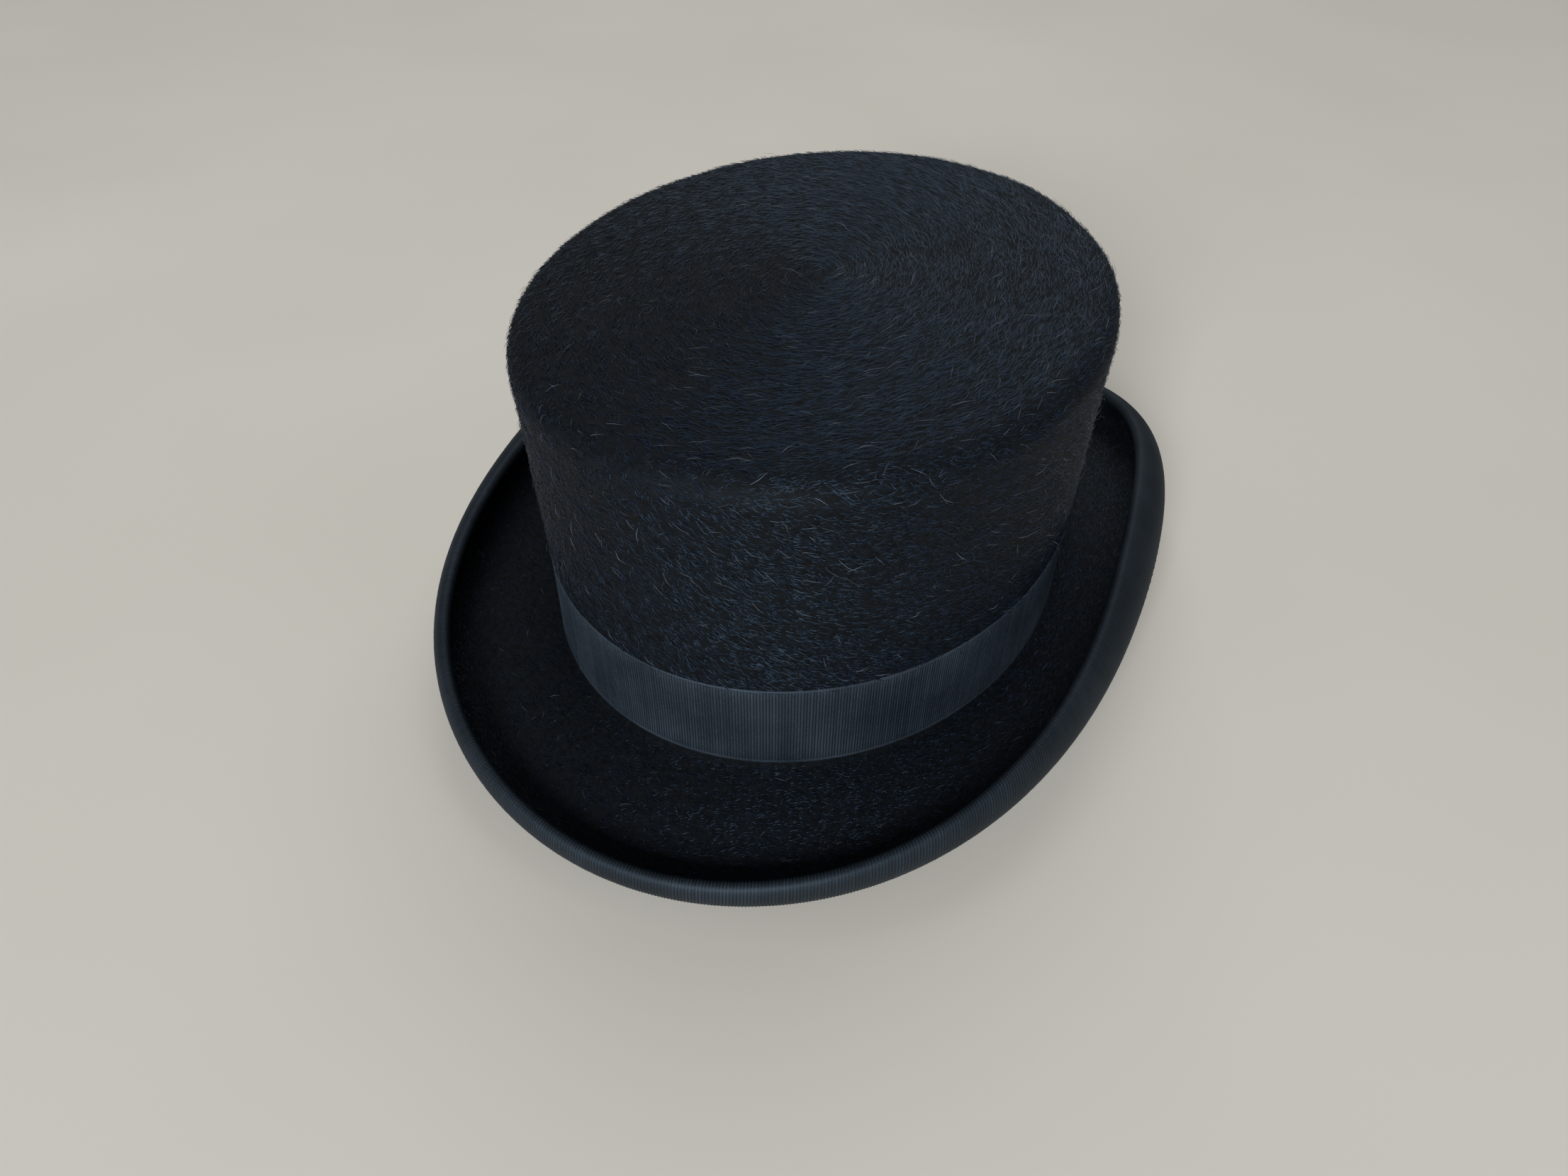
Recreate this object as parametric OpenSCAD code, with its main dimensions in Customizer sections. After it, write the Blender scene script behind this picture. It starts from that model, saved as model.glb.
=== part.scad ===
// Fur-felt top hat with a rolled brim, a ribbed ribbon band and binding, and a lined, leather-banded inside.
// Z is up. The front of the hat faces -Y and the wearer's left is +X. The origin is on the floor
// under the middle of the hat, which stands on the front and back of its brim.

/* [Crown] */
// Length of the crown's outside where it meets the brim, front to back
base_length = 215; // [195:1:235]
// Width of the crown's outside where it meets the brim
base_width = 166; // [150:1:185]
// Length of the tip, to the outside of its edge
tip_length = 238; // [215:1:255]
// Width of the tip, to the outside of its edge
tip_width = 176; // [160:1:195]
// Height of the crown from the brim's upper face to the tip
crown_height = 102.4; // [80:0.2:150]
// How late the crown flares out: 1 is a straight cone
flare_power = 1.43; // [1:0.01:3]
// Radius of the rounded edge of the tip
tip_edge_radius = 7; // [5:0.5:12]
// Thickness of the stiffened felt
felt_thickness = 3; // [2:0.1:4]

/* [Brim] */
// Reach of the flat of the brim at the sides
reach_side = 21.9; // [15:0.1:35]
// Reach of the flat of the brim at the back
reach_back = 37.8; // [25:0.1:55]
// Reach of the flat of the brim at the front
reach_front = 52.7; // [35:0.1:60]
// Extra reach halfway between the sides and the ends
reach_diagonal = 1.1; // [-3:0.1:4]
// Angle at which the brim rises at the sides
rise_side = 20.3; // [0:0.1:30]
// Angle at which the brim dips at the back
dip_back = 13.1; // [0:0.1:20]
// Angle at which the brim dips at the front
dip_front = 9.4; // [0:0.1:20]
// Outer radius of the rolled edge at the sides
roll_radius_side = 14.8; // [8:0.1:20]
// Outer radius of the rolled edge at the front and back
roll_radius_end = 8.5; // [5:0.1:10]
// Angle through which the edge has turned at the sides
roll_turn_side = 157; // [90:1:175]
// Angle through which the edge has turned at the back
roll_turn_back = 104; // [80:1:160]
// Angle through which the edge has turned at the front
roll_turn_front = 160; // [80:1:165]

/* [Ribbons] */
// Thickness of the ribbed ribbon
ribbon_thickness = 0.6; // [0.4:0.1:1]
// Height of the ribbon around the crown
band_height = 30; // [15:1:45]
// Width of the binding that lies outside the rolled edge
binding_outside = 22; // [12:1:28]
// Width of the binding that lies inside the rolled edge
binding_inside = 7; // [5:1:12]
// Thickness of the flat bow's folded loops
bow_thickness = 2.2; // [1:0.1:4]
// Thickness of the ribbon wrapped over the middle of the bow
knot_thickness = 3; // [1:0.1:5]

/* [Inside] */
// Height of the leather sweatband
sweatband_height = 42; // [25:1:55]
// Thickness of the sweatband's leather
leather_thickness = 1.2; // [0.8:0.1:2]
// Diameter of the reed sewn along the sweatband's lower edge
reed_diameter = 1.6; // [1:0.1:2.5]
// Height of the tape that joins the reed to the felt
tape_height = 8; // [5:0.5:12]
// Thickness of the satin lining
lining_thickness = 0.4; // [0.2:0.1:0.8]
// Diameter of the piping between the lining's wall and its tip
piping_diameter = 1.8; // [1:0.1:2.5]
// Width of the small ribbon bow on the sweatband's back seam
seam_bow_width = 5; // [3:0.5:8]

/* [Hidden] */

felt_colour = "#17181a";
ribbon_colour = "#2b2e33";
leather_colour = "#3a2218";
satin_colour = "#d8d3c8";
thread_colour = "#1c1c20";

// Every section is worked out at the same places around the hat, so touching faces share their corners.
steps = 80;
around = [for (i = [0 : steps - 1]) i * 360 / steps];
touch = 0.02; // air between two layers that lie against each other
half_felt = felt_thickness / 2;

// Heights are measured from the brim's upper face at the crown. The straight wall of the crown ends
// where the rounded edge of the tip starts.
edge_height = crown_height - tip_edge_radius;
inner_edge_radius = tip_edge_radius - felt_thickness;
band_foot = 0.5; // clear of the brim, which rises at the sides
band_heights = [band_foot, band_foot + band_height / 2, band_foot + band_height];
upper_wall = heights_between(band_foot + band_height, edge_height, 4);
wall_heights = concat([0], band_heights, [for (k = [1 : 4]) upper_wall[k]]);
edge_turns = [22.5, 45, 67.5, 90]; // around the rounded edge of the tip
rim_turns = [35, 90, 145]; // around the cut edge of the brim
corner_turns = [-30, -60, -90]; // around the underside of the bend from brim to crown

// Numbers of steps along the brim's section: beyond the binding, under it, and within the roll.
bare_steps = 6;
under_steps = 9;
upper_steps = 4;

// Layers of the inside, as distances in from the crown's outer face.
lining_face = felt_thickness + touch;
tape_thickness = 0.6;
ticket_thickness = 0.18;
ticket_face = lining_face + lining_thickness + touch;
leather_face = lining_face + tape_thickness + touch;
leather_back = leather_face + leather_thickness;
lining_foot = tape_height + 1;
sweatband_foot = -1.2; // just inside the brim's underside
sweatband_heights = concat([sweatband_foot, 0], [band_heights[1], band_heights[2]],
    [sweatband_foot + sweatband_height]);

// Places along the hat, as steps counted from the wearer's left (+X) towards the back.
loop_ends = [[-5, -2], [-1, 2]]; // the bow's two loops, a little forward of the left side
knot_ends = [-2, -1];
back_step = steps / 4;
ticket_ends = [back_step - 5, back_step - 3];
bow_inset = 0.6; // the bow is this much lower than the band at top and bottom
seam_bow_thickness = 0.9;
seam_bow_foot = 3;
ticket_foot = 12;
ticket_height = 10;

stitch_length = 3.6;
stitch_width = 0.5;
stitch_thickness = 0.3;
stitches_per_step = 2;
binding_margin = 2.3; // from the ribbon's border to its stitches
sweatband_stitch_height = 1.6;

// The brim, as values that are set at the sides, the back (+Y) and the front (-Y) and run smoothly between.
function around_hat(angle, side, back, front) =
    side + ((back + front) / 2 - side) * pow(sin(angle), 2) + (back - front) / 2 * sin(angle);
function reach(angle) =
    around_hat(angle, reach_side, reach_back, reach_front) + reach_diagonal * pow(sin(2 * angle), 2);
function slope(angle) = around_hat(angle, rise_side, -dip_back, -dip_front);
function turn(angle) = around_hat(angle, roll_turn_side, roll_turn_back, roll_turn_front);
function under_radius(angle) =
    around_hat(angle, roll_radius_side, roll_radius_end, roll_radius_end) - ribbon_thickness;
function upper_radius(angle) = under_radius(angle) - felt_thickness;

// The crown's outer face is an oval at each height, flaring from the base to the tip.
function flare(height) = pow(max(height, 0) / crown_height, flare_power);
function oval_x(height) = (base_width + (tip_width - base_width) * flare(height)) / 2;
function oval_y(height) = (base_length + (tip_length - base_length) * flare(height)) / 2;
function outward(angle, height) =
    let (n = [cos(angle) / oval_x(height), sin(angle) / oval_y(height)])
    n / norm(n);
function wall_point(angle, inset, height) =
    let (n = outward(angle, height))
    [oval_x(height) * cos(angle) - inset * n[0], oval_y(height) * sin(angle) - inset * n[1], height];
function tip_edge_point(angle, radius, swing) =
    wall_point(angle, tip_edge_radius - radius * cos(swing), edge_height) + [0, 0, radius * sin(swing)];

// The brim's section is drawn as [distance out from the crown's base, height]. Its two faces run flat
// for the reach and then roll up about one centre. s is the length along a face from the crown.
function roll_centre(angle) =
    let (tilt = slope(angle))
    reach(angle) * [cos(tilt), sin(tilt)] + upper_radius(angle) * [-sin(tilt), cos(tilt)];
function roll_point(angle, radius, tilt) = roll_centre(angle) + radius * [sin(tilt), -cos(tilt)];
function face_point(angle, face_radius, lift, s) =
    let (tilt = slope(angle), rolled = s - reach(angle), radius = face_radius + lift)
    rolled > 0
        ? roll_point(angle, radius, tilt + rolled / face_radius * 180 / PI)
        : roll_point(angle, radius, tilt) + rolled * [cos(tilt), sin(tilt)];
function face_end(angle, radius) = reach(angle) + radius * (turn(angle) - slope(angle)) * PI / 180;
function face_run(angle, radius, lift, start, finish, count) =
    [for (k = [0 : count]) face_point(angle, radius, lift, start + (finish - start) * k / count)];
function rim_run(angle, radius) =
    let (t = turn(angle), middle = roll_point(angle, under_radius(angle) - half_felt, t))
    [for (w = rim_turns) middle + radius * [sin(t) * cos(w) + cos(t) * sin(w), sin(t) * sin(w) - cos(t) * cos(w)]];

// The stretches of the two faces that the binding covers, lifted off them or lying on them.
function under_start(angle) = face_end(angle, under_radius(angle)) - binding_outside;
function upper_start(angle) = face_end(angle, upper_radius(angle)) - binding_inside;
function under_bound(angle, lift) =
    let (r = under_radius(angle))
    face_run(angle, r, lift, under_start(angle), face_end(angle, r), under_steps);
function upper_bound(angle, lift) =
    let (r = upper_radius(angle))
    face_run(angle, r, -lift, upper_start(angle), face_end(angle, r), upper_steps);

function place(angle, p) =
    let (n = outward(angle, 0))
    [oval_x(0) * cos(angle) + p[0] * n[0], oval_y(0) * sin(angle) + p[0] * n[1], p[1]];
function place_all(angle, points) = [for (p = points) place(angle, p)];
function backwards(list) = [for (k = [len(list) - 1 : -1 : 0]) list[k]];
function without_first(list) = [for (k = [1 : len(list) - 1]) list[k]];
function heights_between(low, high, count) = [for (k = [0 : count]) low + (high - low) * k / count];

// The hat stands on its lowest point and its outline is centred front to back.
outline = [for (a = around) each place_all(a, under_bound(a, ribbon_thickness))];
outline_y = [for (p = outline) p[1]];
outline_z = [for (p = outline) p[2]];
seat = [0, -(max(outline_y) + min(outline_y)) / 2, -min(outline_z)];

// A closed section that lies against the crown's wall, and one for round cord.
function wall_section(angle, near, far, heights) = concat(
    [for (h = heights) wall_point(angle, near, h)],
    [for (h = backwards(heights)) wall_point(angle, far, h)]);
function cord_section(angle, middle, radius) =
    let (n = outward(angle, 0))
    [for (w = [0 : 60 : 300]) middle + radius * [cos(w) * n[0], cos(w) * n[1], sin(w)]];

function strip(a, b, m) = [for (j = [0 : m - 1])
    let (k = (j + 1) % m)
    each [[a * m + j, a * m + k, b * m + k], [a * m + j, b * m + k, b * m + j]]];

// A solid hoop from one closed section at each place around the hat.
module hoop(sections) {
    n = len(sections);
    m = len(sections[0]);
    translate(seat)
        polyhedron(points = [for (s = sections) each s],
            faces = [for (i = [0 : n - 1]) each strip(i, (i + 1) % n, m)]);
}

// A solid length of a hoop between two places, closed by flat ends.
module hoop_length(sections) {
    n = len(sections);
    m = len(sections[0]);
    first_end = [for (j = [m - 1 : -1 : 0]) j];
    last_end = [for (j = [0 : m - 1]) (n - 1) * m + j];
    translate(seat)
        polyhedron(points = [for (s = sections) each s],
            faces = concat([for (i = [0 : n - 2]) each strip(i, i + 1, m)], [first_end, last_end]));
}

// A solid cap from open sections that run from one point on the hat's axis to another below it.
module cap(sections, top, bottom) {
    n = len(sections);
    m = len(sections[0]);
    sides = [for (i = [0 : n - 1], j = [0 : m - 2])
        let (a = i * m + j, d = (i + 1) % n * m + j)
        each [[a, d + 1, a + 1], [a, d, d + 1]]];
    top_fan = [for (i = [0 : n - 1]) [n * m, (i + 1) % n * m, i * m]];
    bottom_fan = [for (i = [0 : n - 1]) [n * m + 1, i * m + m - 1, (i + 1) % n * m + m - 1]];
    translate(seat)
        polyhedron(points = concat([for (s = sections) each s], [top, bottom]),
            faces = concat(sides, top_fan, bottom_fan));
}

// A short thread laid on a face, centred between two points on it. lift points off the face.
module stitch(start, finish, lift) {
    along = (finish - start) / norm(finish - start);
    side = cross(lift, along) / norm(cross(lift, along));
    up = cross(along, side);
    middle = (start + finish) / 2 + seat + up * stitch_thickness / 2;
    multmatrix([for (k = [0 : 2]) [along[k], side[k], up[k], middle[k]]])
        cube([stitch_length, stitch_width, stitch_thickness], center = true);
}

module felt_body() {
    color(felt_colour)
        cap([for (a = around) concat(
                [for (w = backwards(edge_turns)) tip_edge_point(a, tip_edge_radius, w)],
                [for (h = backwards(wall_heights)) wall_point(a, 0, h)],
                place_all(a, without_first(
                    face_run(a, upper_radius(a), 0, 0, upper_start(a), bare_steps))),
                place_all(a, without_first(upper_bound(a, 0))),
                place_all(a, backwards(rim_run(a, half_felt))),
                place_all(a, backwards(under_bound(a, 0))),
                place_all(a, without_first(backwards(
                    face_run(a, under_radius(a), 0, 0, under_start(a), bare_steps)))),
                place_all(a, [for (t = corner_turns) felt_thickness * [sin(t), -cos(t)]]),
                [for (h = without_first(wall_heights)) wall_point(a, felt_thickness, h)],
                [for (w = edge_turns) tip_edge_point(a, inner_edge_radius, w)])],
            [0, 0, crown_height], [0, 0, crown_height - felt_thickness]);
}

module brim_binding() {
    color(ribbon_colour)
        hoop([for (a = around) place_all(a, concat(
            under_bound(a, ribbon_thickness),
            rim_run(a, half_felt + ribbon_thickness),
            backwards(upper_bound(a, ribbon_thickness)),
            upper_bound(a, 0),
            backwards(rim_run(a, half_felt)),
            backwards(under_bound(a, 0))))]);
}

module binding_stitches() {
    line = [for (a = around)
        place(a, face_point(a, under_radius(a), ribbon_thickness, under_start(a) + binding_margin))];
    base = [for (a = around)
        place(a, face_point(a, under_radius(a), 0, under_start(a) + binding_margin))];
    color(thread_colour)
        for (i = [0 : steps - 1], k = [0 : stitches_per_step - 1]) {
            next = (i + 1) % steps;
            span = (line[next] - line[i]) / stitches_per_step;
            start = line[i] + span * k;
            stitch(start, start + span, line[i] - base[i]);
        }
}

module hat_band() {
    color(ribbon_colour)
        hoop([for (a = around) wall_section(a, -ribbon_thickness, 0, band_heights)]);
}

// A folded length of ribbon on top of the band, between two steps.
module on_band(ends, thickness, inset) {
    heights = [band_heights[0] + inset, band_heights[1], band_heights[2] - inset];
    face = -ribbon_thickness - touch;
    hoop_length([for (i = [ends[0] : ends[1]]) wall_section(i * 360 / steps, face - thickness, face, heights)]);
}

module band_bow() {
    color(ribbon_colour)
        for (ends = loop_ends)
            on_band(ends, bow_thickness, bow_inset);
}

module band_knot() {
    color(ribbon_colour)
        on_band(knot_ends, knot_thickness, 0);
}

module sweatband() {
    color(leather_colour)
        hoop([for (a = around) wall_section(a, leather_face, leather_back, sweatband_heights)]);
}

module sweatband_tape() {
    color(ribbon_colour)
        hoop([for (a = around)
            wall_section(a, lining_face, lining_face + tape_thickness, [touch, tape_height])]);
}

module sweatband_reed() {
    radius = reed_diameter / 2;
    color(thread_colour)
        hoop([for (a = around) cord_section(a,
            wall_point(a, (leather_face + leather_back) / 2, sweatband_foot - radius - touch), radius)]);
}

module sweatband_stitches() {
    color(thread_colour)
        for (i = [0 : steps - 1]) {
            start = wall_point(around[i], leather_back, sweatband_stitch_height);
            finish = wall_point(around[(i + 1) % steps], leather_back, sweatband_stitch_height);
            middle = (start + finish) / 2;
            stitch(start, finish, [-middle[0], -middle[1], 0]);
        }
}

module sweatband_bow() {
    face = leather_back + touch;
    heights = [seam_bow_foot, seam_bow_foot + seam_bow_width];
    color(ribbon_colour)
        hoop_length([for (i = [back_step - 1 : back_step + 1])
            wall_section(i * 360 / steps, face, face + seam_bow_thickness, heights)]);
}

module size_ticket() {
    color("white")
        hoop_length([for (i = [ticket_ends[0] : ticket_ends[1]])
            wall_section(i * 360 / steps, ticket_face, ticket_face + ticket_thickness,
                [ticket_foot, ticket_foot + ticket_height])]);
}

module lining_side() {
    heights = concat([lining_foot], [for (h = wall_heights) if (h > lining_foot) h]);
    color(satin_colour)
        hoop([for (a = around) wall_section(a, lining_face, lining_face + lining_thickness, heights)]);
}

module lining_tip() {
    swings = [42, 66, 90];
    outer = inner_edge_radius - touch;
    inner = outer - lining_thickness;
    top = edge_height + outer;
    color(satin_colour)
        cap([for (a = around) concat(
                [for (w = backwards(swings)) tip_edge_point(a, outer, w)],
                [for (w = swings) tip_edge_point(a, inner, w)])],
            [0, 0, top], [0, 0, top - lining_thickness]);
}

module lining_piping() {
    radius = piping_diameter / 2;
    swing = 21;
    color(satin_colour)
        hoop([for (a = around)
            cord_section(a, tip_edge_point(a, inner_edge_radius - touch - radius, swing), radius)]);
}

felt_body();
brim_binding();
binding_stitches();
hat_band();
band_bow();
band_knot();
sweatband();
sweatband_tape();
sweatband_reed();
sweatband_stitches();
sweatband_bow();
size_ticket();
lining_side();
lining_tip();
lining_piping();
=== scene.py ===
"""Looks of the black fur-felt top hat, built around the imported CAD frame.

Lengths are in millimetres in the hat's own coordinates (height 0 is the brim's upper face at the
crown) and become metres in the row frame when a mesh is made.
"""
import math
import bpy
import numpy as np
from mathutils import Matrix, Vector


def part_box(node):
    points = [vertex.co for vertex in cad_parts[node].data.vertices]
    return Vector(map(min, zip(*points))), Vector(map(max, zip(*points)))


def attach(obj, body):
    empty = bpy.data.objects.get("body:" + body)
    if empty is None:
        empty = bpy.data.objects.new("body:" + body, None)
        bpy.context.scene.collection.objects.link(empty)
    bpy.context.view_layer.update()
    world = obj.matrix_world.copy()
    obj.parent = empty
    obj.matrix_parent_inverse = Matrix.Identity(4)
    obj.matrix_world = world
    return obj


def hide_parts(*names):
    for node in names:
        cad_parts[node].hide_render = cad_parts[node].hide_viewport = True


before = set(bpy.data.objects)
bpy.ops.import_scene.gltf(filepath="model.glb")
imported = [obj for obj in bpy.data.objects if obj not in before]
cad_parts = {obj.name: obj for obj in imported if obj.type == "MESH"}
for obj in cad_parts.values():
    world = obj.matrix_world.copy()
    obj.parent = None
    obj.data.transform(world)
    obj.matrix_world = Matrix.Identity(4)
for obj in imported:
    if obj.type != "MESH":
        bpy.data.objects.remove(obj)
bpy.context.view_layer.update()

# ---------------------------------------------------------------- sizes, as in the CAD model
BASE_WIDTH, BASE_LENGTH = 166.0, 215.0
TIP_WIDTH, TIP_LENGTH = 176.0, 238.0
CROWN_HEIGHT = 102.4
FLARE_POWER = 1.43
TIP_EDGE = 7.0
FELT = 3.0
REACH = (21.9, 37.8, 52.7)  # at the sides, back and front, as are the next three
SLOPE = (20.3, -13.1, -9.4)
TURN = (157.0, 104.0, 160.0)
ROLL = (14.8, 8.5, 8.5)
REACH_DIAGONAL = 1.1  # extra reach halfway between the sides and the ends
RIBBON = 0.6
BAND_FOOT, BAND_HEIGHT = 0.5, 30.0
BIND_UNDER, BIND_OVER = 22.0, 7.0
BIND_MARGIN = 2.3  # from the binding's border under the brim to its stitches
TAPE = 0.6
LEATHER = 1.2
SWEATBAND_FOOT, SWEATBAND_HEIGHT = -1.2, 42.0
LINING = 0.4
LINING_FOOT = 9.0
TOUCH = 0.02
EDGE_HEIGHT = CROWN_HEIGHT - TIP_EDGE
INNER_EDGE = TIP_EDGE - FELT
LINING_FACE = FELT + TOUCH
LEATHER_FACE = LINING_FACE + TAPE + TOUCH
LEATHER_BACK = LEATHER_FACE + LEATHER
STEP = 360 / 80  # the CAD model's angular step, which places the bow

# smaller sizes of the visible pieces
TIP_DOME = 0.6  # how much higher the middle of the tip is than its edge, where the CAD tip is flat
INNERMOST = 0.03  # share of the way out to the smallest ring of points around the tip's middle
FOOT_FILLET, FOOT_REACH = 0.28, 0.9  # the small fillet where the crown meets the brim
UNEVEN_ABOVE = 34.0  # the height from which the crown is a little uneven
RIB_DEPTH = 0.22
HAIR_ROOT = 0.25  # how deep in the felt each hair starts
LOOP_WIDTH = BAND_HEIGHT - 1.5
LOOP_THICK, LOOP_RIB_DEPTH = 0.55, 0.12
LOOP_RADIUS = 89.0  # turns a length along a loop's fold into an angle
SWEATBAND_SEWN = 1.6  # height of the sweatband's stitches
EMBOSSED_LINE = 36.3  # height of the line pressed into the sweatband
SEAM_BOW_HEIGHT = 5.5
REED_RADIUS, PIPING_RADIUS = 0.8, 0.9
GATHERS = 96
CARD = 0.16
TICKET_HEIGHT = 17.0
OUTLINE_SAMPLES = 2881  # along an outline that is measured
HIDDEN = 0.5  # the shade of a ribbon's unseen side

MM = 0.001
band_low, band_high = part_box("hat_band")
SEAT = np.array([0.0, (band_low[1] + band_high[1]) / 2 / MM, band_low[2] / MM - BAND_FOOT])


# ---------------------------------------------------------------- shape of the hat
def around_hat(angle, values):
    """A value set at the sides, the back (+Y) and the front (-Y) that runs smoothly between."""
    side, back, front = values
    s = np.sin(angle)
    return side + ((back + front) / 2 - side) * s ** 2 + (back - front) / 2 * s


def flare(height):
    """How far the crown has spread at a height, from 0 at its foot to 1 at the tip."""
    return (np.maximum(height, 0) / CROWN_HEIGHT) ** FLARE_POWER


def wall(angle, inset, height):
    """Points inset from the crown's outer face, broadcast over angle, inset and height."""
    ox = (BASE_WIDTH + (TIP_WIDTH - BASE_WIDTH) * flare(height)) / 2
    oy = (BASE_LENGTH + (TIP_LENGTH - BASE_LENGTH) * flare(height)) / 2
    c, s = np.cos(angle), np.sin(angle)
    nx, ny = c / ox, s / oy
    size = np.hypot(nx, ny)
    return np.stack(np.broadcast_arrays(ox * c - inset * nx / size, oy * s - inset * ny / size, height), -1)


def tip_edge(angle, radius, swing):
    """Points on the rounded edge of the tip; swing runs from 0 at the wall to 90 degrees on top."""
    p = wall(angle, TIP_EDGE - radius * np.cos(swing), EDGE_HEIGHT + 0 * swing)
    p[..., 2] += radius * np.sin(swing)
    return p


def tip_face(angle, share, top, dome):
    """Points on the tip from its middle (share 0) to the start of its rounded edge (share 1)."""
    p = wall(angle, TIP_EDGE + 0 * share, EDGE_HEIGHT + 0 * share)
    p[..., :2] *= np.broadcast_to(share, p.shape[:-1])[..., None]
    p[..., 2] = top + dome * (1 - share ** 2) ** 2
    return p


def out_from_base(angle, out, height):
    """Brim points: distance out from the crown's base, and height."""
    c, s = np.cos(angle), np.sin(angle)
    nx, ny = c / BASE_WIDTH, s / BASE_LENGTH
    size = np.hypot(nx, ny)
    x = BASE_WIDTH / 2 * c + out * nx / size
    y = BASE_LENGTH / 2 * s + out * ny / size
    return np.stack(np.broadcast_arrays(x, y, height), -1)


def reach(angle):
    """How far the flat of the brim runs out from the crown."""
    return around_hat(angle, REACH) + REACH_DIAGONAL * np.sin(2 * angle) ** 2


def under_radius(angle):
    """The roll's radius to the brim's under face."""
    return around_hat(angle, ROLL) - RIBBON


def upper_radius(angle):
    """The roll's radius to the brim's upper face."""
    return under_radius(angle) - FELT


def face_end(angle, radius):
    """The length of a brim face, from the crown to the end of its roll."""
    turn = np.radians(around_hat(angle, TURN) - around_hat(angle, SLOPE))
    return reach(angle) + radius * turn


def rolled(angle, radius, tilt):
    """Distance out and height of a place on the roll, at a radius from its centre and a tilt."""
    slope = np.radians(around_hat(angle, SLOPE))
    flat = reach(angle)
    out = flat * np.cos(slope) - upper_radius(angle) * np.sin(slope) + radius * np.sin(tilt)
    height = flat * np.sin(slope) + upper_radius(angle) * np.cos(slope) - radius * np.cos(tilt)
    return out, height


def brim_face(angle, radius, lift, along):
    """Points a length along one face of the brim, lifted off it away from the roll's centre."""
    slope = np.radians(around_hat(angle, SLOPE))
    past = along - reach(angle)
    out, height = rolled(angle, radius + lift, slope + np.maximum(past, 0) / radius)
    flat = np.minimum(past, 0)
    return out_from_base(angle, out + flat * np.cos(slope), height + flat * np.sin(slope))


def brim_rim(angle, radius, swing):
    """Points around the brim's cut edge; swing runs from 0 on the under face to 180 degrees."""
    turn = np.radians(around_hat(angle, TURN))
    out, height = rolled(angle, under_radius(angle) - FELT / 2, turn)
    out = out + radius * (np.sin(turn) * np.cos(swing) + np.cos(turn) * np.sin(swing))
    height = height + radius * (np.sin(turn) * np.sin(swing) - np.cos(turn) * np.cos(swing))
    return out_from_base(angle, out, height)


def circle(count):
    """Equal steps of angle, as a column."""
    return np.arange(count)[:, None] * 2 * np.pi / count


def even_circle(count, loop):
    """Angles at equal distances along the closed outline that loop(angle) gives."""
    fine = np.linspace(0, 2 * np.pi, OUTLINE_SAMPLES)[:, None]
    steps = np.linalg.norm(np.diff(loop(fine)[:, 0], axis=0), axis=1)
    length = np.concatenate([[0], np.cumsum(steps)])
    return np.interp(np.arange(count) / count * length[-1], length, fine[:, 0])[:, None], length[-1]


def waves(points, wavelength, seed, count=14):
    """Smooth noise in three dimensions, about -1 to 1, made of plane waves."""
    draw = np.random.default_rng(seed)
    direction = draw.normal(size=(count, 3))
    direction /= np.linalg.norm(direction, axis=1)[:, None]
    scale = 2 * np.pi / (wavelength * draw.uniform(0.7, 1.5, count))
    phase = draw.uniform(0, 2 * np.pi, count)
    return np.sin(points @ (direction * scale[:, None]).T + phase).sum(-1) / math.sqrt(count)


# ---------------------------------------------------------------- meshes
def make_piece(name, points, faces, material, replaced=(), slot=None):
    """A piece in the row frame from points in millimetres and lists of equal-sided faces."""
    mesh = bpy.data.meshes.new(name)
    points = (points.reshape(-1, 3) + SEAT) * MM
    loops = np.concatenate([f.ravel() for f in faces])
    sides = np.concatenate([np.full(len(f), f.shape[1]) for f in faces])
    mesh.vertices.add(len(points))
    mesh.vertices.foreach_set("co", points.ravel())
    mesh.loops.add(len(loops))
    mesh.loops.foreach_set("vertex_index", loops.astype(np.int32))
    mesh.polygons.add(len(sides))
    starts = np.concatenate([[0], np.cumsum(sides)[:-1]])
    mesh.polygons.foreach_set("loop_start", starts.astype(np.int32))
    mesh.update(calc_edges=True)
    mesh.polygons.foreach_set("use_smooth", np.full(len(sides), True))
    mesh.materials.append(material)
    piece = bpy.data.objects.new(name, mesh)
    bpy.context.scene.collection.objects.link(piece)
    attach(piece, "root")
    if replaced:
        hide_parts(*replaced)
    return piece


def grid_faces(n, m, wrap_n, wrap_m):
    """Quads of an n by m grid of points, turned so that a section drawn anticlockwise faces out."""
    rows = np.arange(n if wrap_n else n - 1)
    columns = np.arange(m if wrap_m else m - 1)
    i, j = [part.ravel() for part in np.meshgrid(rows, columns, indexing="ij")]
    next_i, next_j = (i + 1) % n, (j + 1) % m
    return np.stack([i * m + j, next_i * m + j, next_i * m + next_j, i * m + next_j], 1)


def hoop(name, points, material, **options):
    """A closed section carried all the way around the hat."""
    n, m = points.shape[:2]
    return make_piece(name, points, [grid_faces(n, m, True, True)], material, **options)


def set_shade(piece, values):
    """How light each point of a piece is, from 0 to 1, for its material to read."""
    attribute = piece.data.attributes.new("shade", "FLOAT", "POINT")
    attribute.data.foreach_set("value", values.astype(np.float32).ravel())
    return piece


def fan_faces(ring, middle):
    """Triangles from a closed ring of points to one middle point, facing as the ring turns."""
    return np.stack([ring, np.roll(ring, -1), np.full(len(ring), middle)], 1)


def length_of_hoop(name, points, material, **options):
    """A solid from closed sections at n places, with flat ends."""
    n, m = points.shape[:2]
    first = np.arange(m)[None]
    last = first[:, ::-1] + (n - 1) * m
    return make_piece(name, points, [grid_faces(n, m, False, True), first, last], material, **options)


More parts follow.
